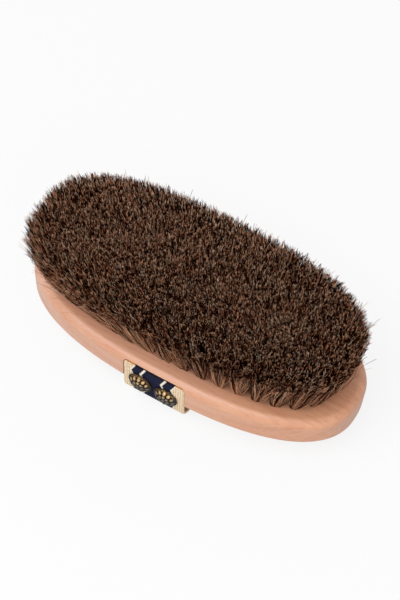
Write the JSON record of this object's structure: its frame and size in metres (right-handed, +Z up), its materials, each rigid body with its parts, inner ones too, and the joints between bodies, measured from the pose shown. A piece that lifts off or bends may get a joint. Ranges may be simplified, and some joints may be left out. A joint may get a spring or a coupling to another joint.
{
  "type": "horsehair bristle brush",
  "caption": "Oval beech brush with rings of horsehair tufts and a striped webbing hand strap tacked across its back.",
  "frame": {"origin": "middle of the brush, on the surface under the strap loop, where the brush rests", "axes": "+X along the brush's length, +Y across it away from the pictured side, +Z up towards the bristle tips"},
  "size_m": [0.2, 0.0946, 0.0725],
  "materials": {
    "beech": "sanded, thin satin lacquer",
    "webbing": "navy cotton webbing with ribbed cream edges and two thin white lines",
    "antique_brass": "embossed, darkened, highlights rubbed",
    "pin_steel": "plain drawn wire",
    "horsehair": "mixed dark brown hair with paler cut tips"
  },
  "bodies": {
    "root": {"block": "beech", "bristle_ring_1": "horsehair", "bristle_ring_2": "horsehair", "bristle_ring_3": "horsehair", "bristle_middle_row": "horsehair", "strap": "webbing", "near_left_tack_cap": "antique_brass", "near_left_tack_pin": "pin_steel", "near_right_tack_cap": "antique_brass", "near_right_tack_pin": "pin_steel", "far_left_tack_cap": "antique_brass", "far_left_tack_pin": "pin_steel", "far_right_tack_cap": "antique_brass", "far_right_tack_pin": "pin_steel"}
  },
  "joints": []
}
